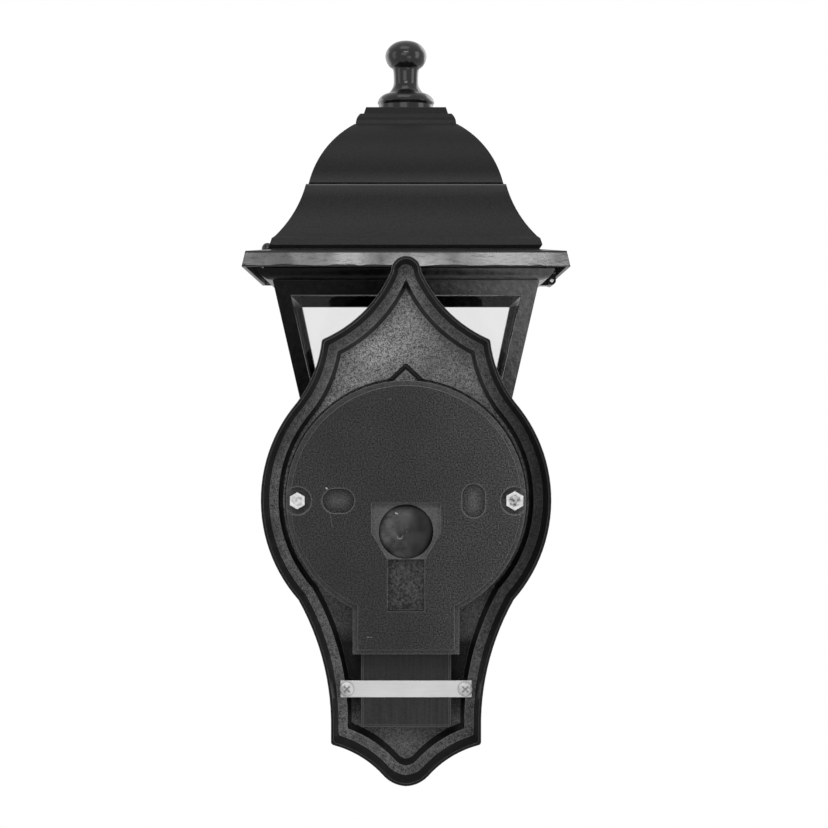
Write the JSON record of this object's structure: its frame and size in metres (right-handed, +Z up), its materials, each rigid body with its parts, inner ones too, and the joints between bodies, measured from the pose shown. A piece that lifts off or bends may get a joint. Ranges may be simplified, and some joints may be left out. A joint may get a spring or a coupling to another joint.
{
  "type": "outdoor wall light",
  "caption": "Black wall lantern: stepped back shield with wall plate and terminal box, swan neck arm, square tapered glass cage, hinged domed roof with ball finial, screw lampholder.",
  "frame": {"origin": "middle of the round wall plate, on the wall's surface", "axes": "+Y out of the back, into the wall; +Z up; the lantern stands out along -Y; +X is to the left of someone who looks at the back from the wall's side"},
  "size_m": [0.161, 0.1975, 0.3721],
  "materials": {
    "black_paint": "satin",
    "roof_paint": "satin, fine texture",
    "finial_paint": "gloss",
    "plate_plastic": "matt, fine grain",
    "box_plastic": "matt",
    "block_plastic": "matt",
    "holder_plastic": "satin",
    "ceramic": "glazed",
    "black_rubber": "matt",
    "grommet_rubber": "semi-gloss",
    "zinc_steel": "bright zinc",
    "strap_aluminium": "brushed",
    "brass": "plain",
    "lead_sleeve": "matt silicone sleeve",
    "clear_glass": "clear, polished"
  },
  "bodies": {
    "wall_unit": {"back_shield": "black_paint", "wall_plate": "plate_plastic", "plate_bolts": "zinc_steel", "seal_washers": "black_rubber", "cap_nuts": "zinc_steel", "cable_grommet": "grommet_rubber", "terminal_box": "box_plastic", "terminal_box_lid": "box_plastic", "terminal_block": "block_plastic", "terminal_sleeves": "brass", "terminal_screws": "zinc_steel", "retaining_strap": "strap_aluminium", "strap_screws": "zinc_steel", "swan_neck_arm": "black_paint", "arm_screws": "zinc_steel", "lantern_frame": "black_paint", "pane_front": "clear_glass", "pane_right": "clear_glass", "pane_back": "clear_glass", "pane_left": "clear_glass", "threaded_nipple": "brass", "lock_nut": "zinc_steel", "holder_cap": "holder_plastic", "holder_sleeve": "holder_plastic", "holder_core": "ceramic", "lamp_thread_sleeve": "brass", "centre_contact": "brass", "lamp_leads": "lead_sleeve"},
    "roof": {"roof_shell": "roof_paint", "finial": "finial_paint", "finial_nut": "zinc_steel", "hinge_pin": "zinc_steel"},
    "latch": {"latch_knob": "finial_paint", "latch_cam": "zinc_steel"}
  },
  "joints": [
    {"name": "roof_hinge", "type": "hinge", "parent": "wall_unit", "child": "roof", "pos_m": [-0.0759, -0.117, 0.1106], "axis": [0, -1, 0], "range_deg": [0, 100]},
    {"name": "latch_turn", "type": "hinge", "parent": "roof", "child": "latch", "pos_m": [0.0728, -0.117, 0.117], "axis": [0, 0, 1], "range_deg": [0, 90]}
  ]
}
